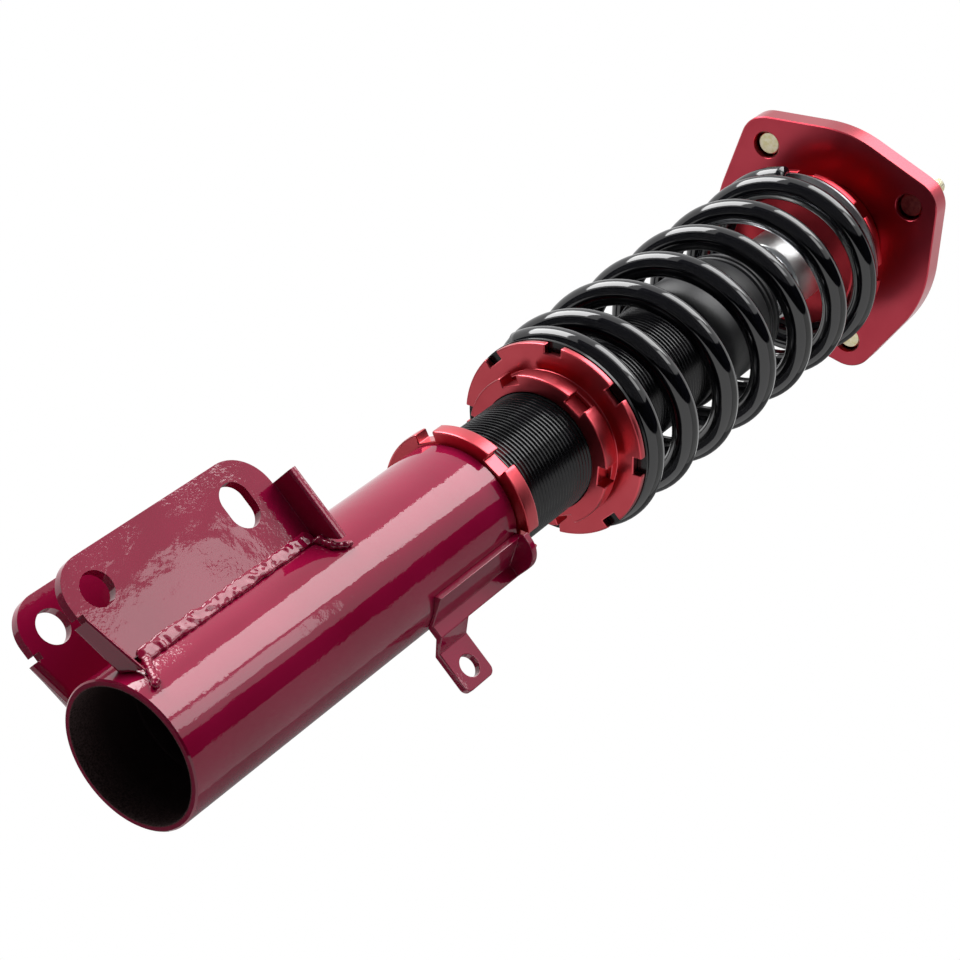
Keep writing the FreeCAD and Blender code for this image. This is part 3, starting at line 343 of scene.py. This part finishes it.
def object_from(shape, name, material, body):
    """Turns a bmesh into a finished piece that rides on a body."""
    mesh = bpy.data.meshes.new(name)
    shape.to_mesh(mesh)
    shape.free()
    thing = bpy.data.objects.new(name, mesh)
    bpy.context.scene.collection.objects.link(thing)
    dress(thing, material)
    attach(thing, body)
    return thing


def shade(thing, sharp_degrees=30):
    """Smooth faces with a crisp break at sharp edges."""
    for polygon in thing.data.polygons:
        polygon.use_smooth = True
    thing.data.set_sharp_from_angle(angle=math.radians(sharp_degrees))


def closed_outline(shape, points_mm):
    """Corners and edges of a closed outline in the XZ plane, from (radius, height) pairs."""
    corners = [shape.verts.new((radius * MM, 0, height * MM)) for radius, height in points_mm]
    edges = [shape.edges.new((corners[index], corners[(index + 1) % len(corners)]))
             for index in range(len(corners))]
    return corners + edges


def turned_shape(profile, steps=96):
    """A closed solid of revolution about the strut's axis from (radius, height) pairs in millimetres."""
    shape = bmesh.new()
    bmesh.ops.spin(shape, geom=closed_outline(shape, profile), cent=(0, 0, 0), axis=(0, 0, 1),
                   dvec=(0, 0, 0), angle=TURN, steps=steps, use_merge=True, use_duplicate=False)
    bmesh.ops.remove_doubles(shape, verts=shape.verts, dist=SAME_POINT)
    bmesh.ops.recalc_face_normals(shape, faces=shape.faces)
    return shape


def turned_piece(name, profile, material, body, replaced, sharp_degrees=30):
    """A turned solid that rides on a body and is shown in a CAD piece's place."""
    thing = object_from(turned_shape(profile), name, material, body)
    shade(thing, sharp_degrees)
    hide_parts(replaced)


def helical_ridge(section, first_height, pitch, doublings, steps=56):
    """A ridge of the given (radius, height) section wound up the strut's axis and closed at both ends.

    Three turns are spun, then the wound length is doubled as often as asked.
    """
    shape = bmesh.new()
    raised = [(radius, first_height + height) for radius, height in section]
    bmesh.ops.spin(shape, geom=closed_outline(shape, raised), cent=(0, 0, 0), axis=(0, 0, 1),
                   dvec=(0, 0, pitch * MM / steps), angle=3 * TURN, steps=3 * steps,
                   use_merge=False, use_duplicate=False)
    rise = 3 * pitch * MM
    for _ in range(doublings):
        copied = bmesh.ops.duplicate(shape, geom=shape.verts[:] + shape.edges[:] + shape.faces[:])
        fresh = [item for item in copied["geom"] if isinstance(item, bmesh.types.BMVert)]
        bmesh.ops.translate(shape, verts=fresh, vec=(0, 0, rise))
        rise *= 2
    bmesh.ops.remove_doubles(shape, verts=shape.verts, dist=SAME_POINT)
    bmesh.ops.holes_fill(shape, edges=[edge for edge in shape.edges if edge.is_boundary], sides=0)
    bmesh.ops.recalc_face_normals(shape, faces=shape.faces)
    return shape


def threaded_body():
    """The damper's body: a smooth lower end, then a fine thread up to a chamfered head."""
    bore, land, core, crest = 21.5, 24.75, 24.25, 24.95
    barrel = [(bore, 62), (23.8, 62), (land, 63.4), (land, 144), (core, 144.6), (core, 343.2),
              (23.6, 344), (bore, 344)]
    turned_piece("damper_barrel", barrel, THREAD, "damper", "damper_body")
    root = core - 0.3
    tooth = [(root, -0.98), (crest, -0.16), (crest, 0.16), (root, 0.98)]
    ridge = helical_ridge(tooth, first_height=145.5, pitch=2.0, doublings=5)
    shade(object_from(ridge, "body_thread", THREAD, "damper"))


def joined_copy(name):
    """The CAD piece's mesh with its triangles joined at their corners."""
    shape = bmesh.new()
    shape.from_mesh(nodes[name].data)
    bmesh.ops.remove_doubles(shape, verts=shape.verts, dist=SAME_CORNER)
    return shape


def wound_spring():
    """The coil spring, as a smooth-shaded copy of the CAD piece with its corners joined."""
    spring = object_from(joined_copy("coil_spring"), "wound_spring", SPRING, "spring")
    shade(spring, 60)
    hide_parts("coil_spring")
    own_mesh(spring)


def plain_copy(name):
    """The CAD piece's joined mesh with its flat faces made whole."""
    shape = joined_copy(name)
    bmesh.ops.dissolve_limit(shape, angle_limit=math.radians(0.6), verts=shape.verts, edges=shape.edges,
                             delimit={"NORMAL"})
    return shape


def round_edges(shape, edges, width_mm, segments):
    """Rounds edges, or chamfers them with one segment."""
    bmesh.ops.bevel(shape, geom=edges, offset=width_mm * MM, offset_type="OFFSET", segments=segments,
                    profile=0.5, affect="EDGES", material=-1, clamp_overlap=True)


def ease_edges(shape, width_mm, segments, sharper_than=38):
    """Breaks every sharp edge by a narrow round or chamfer that catches the light."""
    sharp = [edge for edge in shape.edges
             if len(edge.link_faces) == 2 and edge.calc_face_angle(0) > math.radians(sharper_than)]
    round_edges(shape, sharp, width_mm, segments)


def even_shading(thing):
    """Lets large faces keep their flat shading beside small rounded edges."""
    weight = thing.modifiers.new("even_shading", "WEIGHTED_NORMAL")
    weight.keep_sharp = True


def eased_copy(name, label, material, body, width_mm, segments):
    """A CAD piece shown with its edges broken."""
    shape = plain_copy(name)
    ease_edges(shape, width_mm, segments)
    thing = object_from(shape, label, material, body)
    shade(thing)
    even_shading(thing)
    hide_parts(name)


def near(value, target_mm, reach_mm=0.15):
    """Whether a length in metres lies close to a target in millimetres."""
    return abs(value / MM - target_mm) < reach_mm


def round_bend(shape, across_mm, height_mm, radius_mm, segments):
    """Rounds a knuckle plate's edges at one distance from the middle plane and at one height."""
    bend = [edge for edge in shape.edges
            if all(near(abs(vert.co.y), across_mm) and near(vert.co.z, height_mm) for vert in edge.verts)]
    round_edges(shape, bend, radius_mm, segments)


def pressed_plate(name, label):
    """A knuckle plate with rounded bends, its foot flange rising and widening towards the tube."""
    shape = plain_copy(name)
    face, back = 17.7, 13.7
    foot_top, thinning, lift = 5, 0.45, 4.5
    tube_side, ramp_length = 42, 22
    round_bend(shape, back, 107, 4.5, 5)
    round_bend(shape, face, 103, 3.2, 4)
    round_bend(shape, back, 1, 3.0, 4)
    for tip, height, radius in ((22.7, 1, 1.8), (22.7, foot_top, 1.8), (28.2, 103, 1.2), (28.2, 107, 1.2)):
        round_bend(shape, tip, height, radius, 3)
    for vert in shape.verts:
        across = abs(vert.co.y) / MM
        if vert.co.z < 6.2 * MM:
            share = min(1, max(0, (tube_side - vert.co.x / MM) / ramp_length))
            if across > face + 0.05:
                wide = face + (across - face) * (0.5 + 0.5 * share)
                vert.co.y = math.copysign(wide * MM, vert.co.y)
                vert.co.z = foot_top * MM - (foot_top * MM - vert.co.z) * thinning
            vert.co.z += lift * share * MM
    ease_edges(shape, 0.55, 2)
    thing = object_from(shape, label, HOUSING, "strut")
    shade(thing, 40)
    even_shading(thing)
    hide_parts(name)


# Across, along and height of each drop's centre, and its radius, all in millimetres.
WELD_DROPS = [
    (20.3, 20.6, 101.9, 1.9), (18.3, 22.3, 101.9, 1.6), (16.6, 23.7, 102.2, 1.8), (15.0, 25.0, 103.6, 1.4),
    (14.0, 25.6, 105.6, 1.5), (13.4, 25.9, 107.8, 1.1), (20.8, 19.6, 13.4, 1.9), (19.6, 20.9, 11.9, 1.7),
    (18.2, 22.3, 10.4, 1.9), (16.8, 23.5, 9.2, 1.7), (15.4, 24.5, 8.3, 1.9), (14.2, 25.3, 7.4, 1.8),
    (13.6, 25.8, 6.0, 1.3)]


def weld_bead(name, label, side):
    """A ripple-topped weld down the plate's joint with the tube, turned round the flanges at both ends.

    The main bead follows the joint, and smaller drops of metal follow the flange ends.
    """
    foot, head, cuts = 12.5, 102.6, 170
    joint_x, joint_y = 23.5, 18.3
    half_width, half_height = 2.9, 0.9
    ripple_pitch, end_length, bluntness = 5.2, 9, 0.15
    upright_share, leaning_share = 0.98, 0.2
    shape = bmesh.new()
    bmesh.ops.create_cone(shape, cap_ends=True, cap_tris=False, segments=18, radius1=1, radius2=1, depth=1)
    upright = [edge for edge in shape.edges if abs(edge.verts[0].co.z - edge.verts[1].co.z) > 0.5]
    bmesh.ops.subdivide_edges(shape, edges=upright, cuts=cuts)
    for vert in shape.verts:
        share = vert.co.z + 0.5
        turn = math.atan2(vert.co.y, vert.co.x)
        height = foot + (head - foot) * share
        level = math.copysign(abs(math.sin(turn)) ** 0.6, math.sin(turn))
        wave = math.sin(TURN * (height / ripple_pitch + 0.4 * math.cos(turn) ** 2))
        drift = noise.noise(Vector((height * 0.2, side * 3.1, 0.4)))
        edge = noise.noise(Vector((height * 0.55, math.copysign(4, math.cos(turn)), 1.7 * side)))
        rough = noise.noise(Vector((height * 0.42, math.cos(turn) * 1.3, 7.0 * side)))
        taper = max(bluntness, min(1, 4 * min(share, 1 - share) * (head - foot) / end_length) ** 0.5)
        wide = (half_width + 0.5 * drift + 0.6 * edge) * taper
        tall = (half_height + 0.06 * wave + 0.5 * rough) * taper
        middle = joint_x + 0.6 * noise.noise(Vector((height * 0.12, 2.0, side)))
        across = middle - upright_share * wide * math.cos(turn) + leaning_share * tall * level
        along = joint_y + leaning_share * wide * math.cos(turn) + upright_share * tall * level
        vert.co = Vector((across, side * along, height)) * MM
    for across, along, height, radius in WELD_DROPS:
        ball = bmesh.ops.create_icosphere(shape, subdivisions=3, radius=radius * MM)
        for vert in ball["verts"]:
            vert.co *= 1 + 0.15 * noise.noise(vert.co / (1.8 * MM) + Vector((height, along, across)))
        bmesh.ops.translate(shape, verts=ball["verts"], vec=Vector((across, side * along, height)) * MM)
    bmesh.ops.recalc_face_normals(shape, faces=shape.faces)
    bead = object_from(shape, label, WELD, "strut")
    fuse = bead.modifiers.new("fuse", "REMESH")
    fuse.mode = "VOXEL"
    fuse.voxel_size = 0.38 * MM
    melt = bead.modifiers.new("melt", "SMOOTH")
    melt.factor = 0.5
    melt.iterations = 8
    graph = bpy.context.evaluated_depsgraph_get()
    fused = bpy.data.meshes.new_from_object(bead.evaluated_get(graph))
    bead.modifiers.clear()
    bead.data = fused
    dress(bead, WELD)
    shade(bead, 80)
    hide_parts(name)


def top_of_boot():
    """The boot with its ribbed top rim, and the bright sleeves that stand in it up to the seat."""
    boot = [
        (25.4, 339.0), (26.3, 339.0), (26.6, 339.4), (26.6, 378.6), (26.2, 379.4), (25.3, 379.8),
        (25.3, 381.0), (26.1, 381.4), (26.3, 382.0), (26.1, 382.8), (25.1, 383.4), (25.1, 384.6),
        (25.9, 385.0), (26.0, 385.8), (25.7, 386.4), (24.8, 387.0), (24.8, 388.0), (25.2, 388.4),
        (25.1, 389.4), (24.5, 390.3), (23.2, 390.3), (23.0, 386.2), (17.2, 386.0), (17.2, 384.7),
        (24.0, 384.6), (25.0, 382.6), (25.4, 379.0)]
    turned_piece("ribbed_boot", boot, RUBBER, "rod", "dust_boot", 50)
    sleeve = [
        (15.4, 390.4), (24.0, 390.4), (24.25, 390.8), (24.0, 391.3), (17.2, 391.3), (16.5, 392.0),
        (16.5, 402.2), (16.2, 402.5), (15.4, 402.5)]
    turned_piece("boot_sleeve", sleeve, CHROME, "rod", "boot_washer")
    collar = [(11.2, 402.6), (16.2, 402.6), (16.5, 402.9), (16.5, 419.7), (16.2, 420.0), (11.2, 420.0)]
    turned_piece("boot_collar", collar, CHROME, "rod", "boot_cup")
    spacer = [(11.2, 420.1), (17.6, 420.1), (18.0, 420.5), (18.0, 446.5), (17.6, 446.9), (11.2, 446.9)]
    turned_piece("satin_spacer", spacer, SATIN, "rod", "rod_spacer")
    cushion = [
        (11.1, 385.0), (13.6, 385.0), (15.0, 386.6), (15.0, 389.4), (14.2, 390.4), (14.2, 391.4),
        (15.0, 392.4), (15.0, 398.6), (14.4, 399.8), (11.1, 399.8)]
    turned_piece("bump_cushion", cushion, FOAM, "rod", "bump_stop", 40)


threaded_body()
wound_spring()
pressed_plate("knuckle_plate_left", "pressed_plate_left")
pressed_plate("knuckle_plate_right", "pressed_plate_right")
weld_bead("knuckle_weld_left", "weld_bead_left", 1)
weld_bead("knuckle_weld_right", "weld_bead_right", -1)
top_of_boot()
eased_copy("hose_bracket", "hose_bracket_eased", HOUSING, "strut", 0.6, 2)
eased_copy("body_lock_ring", "slotted_body_ring", RED, "lock_ring", 0.4, 1)
eased_copy("perch_lock_ring", "slotted_perch_ring", RED, "perch_ring", 0.4, 1)
eased_copy("spring_perch", "slotted_perch", RED, "perch", 0.35, 1)
eased_copy("upper_seat", "slotted_seat", SEAT_RED_PAINTED_BOUNCE, "rod", 0.35, 1)
eased_copy("top_plate", "milled_top_plate", PLATE_RED, "top_mount", 0.5, 1)


# Stage

WHITE = (1.0, 1.0, 1.0, 1.0)
LAMP_DISTANCE = 1.8
SCREEN_RADIUS = 1.7


def stage_piece(shape, material, name, seen_by_camera):
    """Turns a bmesh into a piece of the studio, which is no part of the strut."""
    mesh = bpy.data.meshes.new(name)
    shape.to_mesh(mesh)
    shape.free()
    mesh.materials.append(material)
    thing = bpy.data.objects.new(name, mesh)
    bpy.context.scene.collection.objects.link(thing)
    thing.visible_camera = seen_by_camera


def floor():
    """A pale floor that the camera sees from above only, so that it never hides the strut from below.

    It fades into the white ground, so no horizon shows behind the strut.
    """
    half_size, fade_start, fade_end = 6.0, 0.6, 1.5
    material = empty_material("pale_studio_floor")
    tree = material.node_tree
    cloth = add_node(tree, "ShaderNodeBsdfDiffuse", {"Color": hex_colour("#BDBCBA")})
    glow = add_node(tree, "ShaderNodeEmission", {"Color": WHITE, "Strength": 0.46})
    paint = add_node(tree, "ShaderNodeAddShader", {0: cloth.outputs[0], 1: glow.outputs[0]})
    clear = add_node(tree, "ShaderNodeBsdfTransparent")
    path = add_node(tree, "ShaderNodeLightPath")
    side = add_node(tree, "ShaderNodeNewGeometry")
    above = calculate(tree, "SUBTRACT", 1.0, side.outputs["Backfacing"])
    place = add_node(tree, "ShaderNodeTexCoord").outputs["Object"]
    distance = add_node(tree, "ShaderNodeVectorMath", {0: place}, operation="LENGTH").outputs["Value"]
    fade = add_node(tree, "ShaderNodeMapRange", {
        "Value": distance, "From Min": fade_start, "From Max": fade_end, "To Min": 1.0, "To Max": 0.0},
        interpolation_type="SMOOTHSTEP")
    faced = calculate(tree, "MULTIPLY", above, path.outputs["Is Camera Ray"])
    seen = calculate(tree, "MULTIPLY", faced, fade.outputs["Result"])
    mixed = add_node(tree, "ShaderNodeMixShader", {0: seen, 1: clear.outputs[0], 2: paint.outputs[0]})
    add_node(tree, "ShaderNodeOutputMaterial", {"Surface": mixed.outputs[0]})
    shape = bmesh.new()
    bmesh.ops.create_grid(shape, x_segments=1, y_segments=1, size=half_size)
    bmesh.ops.translate(shape, verts=shape.verts, vec=(0, 0, -0.2 * MM))
    stage_piece(shape, material, "studio_floor", seen_by_camera=True)


def softbox(name, azimuth, elevation, width, height, radiance):
    """An area lamp that faces the strut's middle from a bearing counted from +X towards +Y."""
    turn, tilt = math.radians(azimuth), math.radians(elevation)
    aim = Vector((0, 0, 0.25))
    out = Vector((math.cos(turn) * math.cos(tilt), math.sin(turn) * math.cos(tilt), math.sin(tilt)))
    lamp = bpy.data.lights.new(name, "AREA")
    lamp.shape = "RECTANGLE"
    lamp.size = width
    lamp.size_y = height
    lamp.energy = radiance * math.pi * width * height
    holder = bpy.data.objects.new(name, lamp)
    holder.location = aim + out * LAMP_DISTANCE
    holder.rotation_mode = "QUATERNION"
    holder.rotation_quaternion = out.to_track_quat("Z", "Y")
    holder.visible_camera = False
    bpy.context.scene.collection.objects.link(holder)


def screen(name, profile, from_azimuth, to_azimuth, tone):
    """A curved cloth screen round part of the strut, out of the camera's sight, for gloss to reflect.

    The profile holds (radius, height) pairs in metres, and bearings count from +X towards +Y.
    """
    shape = bmesh.new()
    corners = [shape.verts.new((radius, 0, height)) for radius, height in profile]
    edges = [shape.edges.new(pair) for pair in zip(corners[:-1], corners[1:])]
    bmesh.ops.rotate(shape, verts=shape.verts, cent=(0, 0, 0),
                     matrix=Matrix.Rotation(math.radians(from_azimuth), 3, "Z"))
    bmesh.ops.spin(shape, geom=corners + edges, cent=(0, 0, 0), axis=(0, 0, 1), dvec=(0, 0, 0),
                   angle=math.radians(to_azimuth - from_azimuth), steps=24)
    material = empty_material(name + "_cloth")
    weave = add_node(material.node_tree, "ShaderNodeBsdfDiffuse", {"Color": hex_colour(tone)})
    add_node(material.node_tree, "ShaderNodeOutputMaterial", {"Surface": weave.outputs[0]})
    stage_piece(shape, material, name, seen_by_camera=False)


def world():
    """A white ground for the camera and for clear reflections, with a softer even light on the strut."""
    tent = bpy.data.worlds.new("white_tent")
    bpy.context.scene.world = tent
    tent.use_nodes = True
    tree = tent.node_tree
    tree.nodes.clear()
    path = add_node(tree, "ShaderNodeLightPath")
    seen = calculate(tree, "MAXIMUM", path.outputs["Is Camera Ray"], path.outputs["Is Glossy Ray"])
    seen = calculate(tree, "MAXIMUM", seen, path.outputs["Is Transmission Ray"])
    white = add_node(tree, "ShaderNodeBackground", {"Color": WHITE, "Strength": 1.0})
    soft = add_node(tree, "ShaderNodeBackground", {"Color": hex_colour("#F7F8FA"), "Strength": 0.5})
    mixed = add_node(tree, "ShaderNodeMixShader", {0: seen, 1: soft.outputs[0], 2: white.outputs[0]})
    add_node(tree, "ShaderNodeOutputWorld", {"Surface": mixed.outputs[0]})


def lamps():
    """A large key light, a weaker one lower beside it, and a strong low one on the bracket's side."""
    softbox("key_softbox", 62, 43, 1.02, 1.3, 5.3)
    softbox("key_fringe", 93, 25, 0.44, 0.68, 2.9)
    softbox("edge_softbox", 5, 10, 1.15, 1.35, 8.5)


def screens():
    """Grey cloths below and on the camera's side, a black one beside them, and others round to the back."""
    bowl = [(SCREEN_RADIUS, -0.9), (1.2, -1.6), (0.0, -1.9)]
    upper = [(SCREEN_RADIUS, 2.6), (SCREEN_RADIUS, 0.4)]
    lower = [(SCREEN_RADIUS, -0.6), (SCREEN_RADIUS, -1.5)]
    screen("front_screen", [(SCREEN_RADIUS, 0.55)] + bowl, 32, 112, "#77777A")
    screen("low_screen", [(SCREEN_RADIUS, -0.45)] + bowl, -45, 32, "#77777A")
    screen("black_screen", [(SCREEN_RADIUS, 2.6)] + bowl, 112, 141, "#1A1A1B")
    screen("grey_screen", upper, 141, 200, "#D4D4D2")
    screen("far_screen", upper, 200, 272, "#8C8C8C")
    screen("foot_screen", lower, 225, 315, "#77777A")


def camera():
    """The photograph's viewpoint: on the +Y side and below the foot, looking up along the strut."""
    sensor_mm, image_pixels, focal_pixels = 36.0, 960, 2429.15
    eye = Vector((4.268, 646.949, -451.989)) * MM
    right = Vector((-0.596356, 0.571159, 0.564036)).normalized()
    ahead = Vector((0.0, -0.702656, 0.711529)).normalized()
    up = right.cross(ahead).normalized()
    lens = bpy.data.cameras.new("view")
    lens.sensor_width = sensor_mm
    lens.lens = sensor_mm * focal_pixels / image_pixels
    lens.clip_end = 20.0
    holder = bpy.data.objects.new("view", lens)
    turn = Matrix((right, up, -ahead)).transposed()
    holder.matrix_world = Matrix.Translation(eye) @ turn.to_4x4()
    bpy.context.scene.collection.objects.link(holder)
    bpy.context.scene.camera = holder


floor()
world()
lamps()
screens()
camera()
bpy.context.scene.view_settings.view_transform = "Standard"
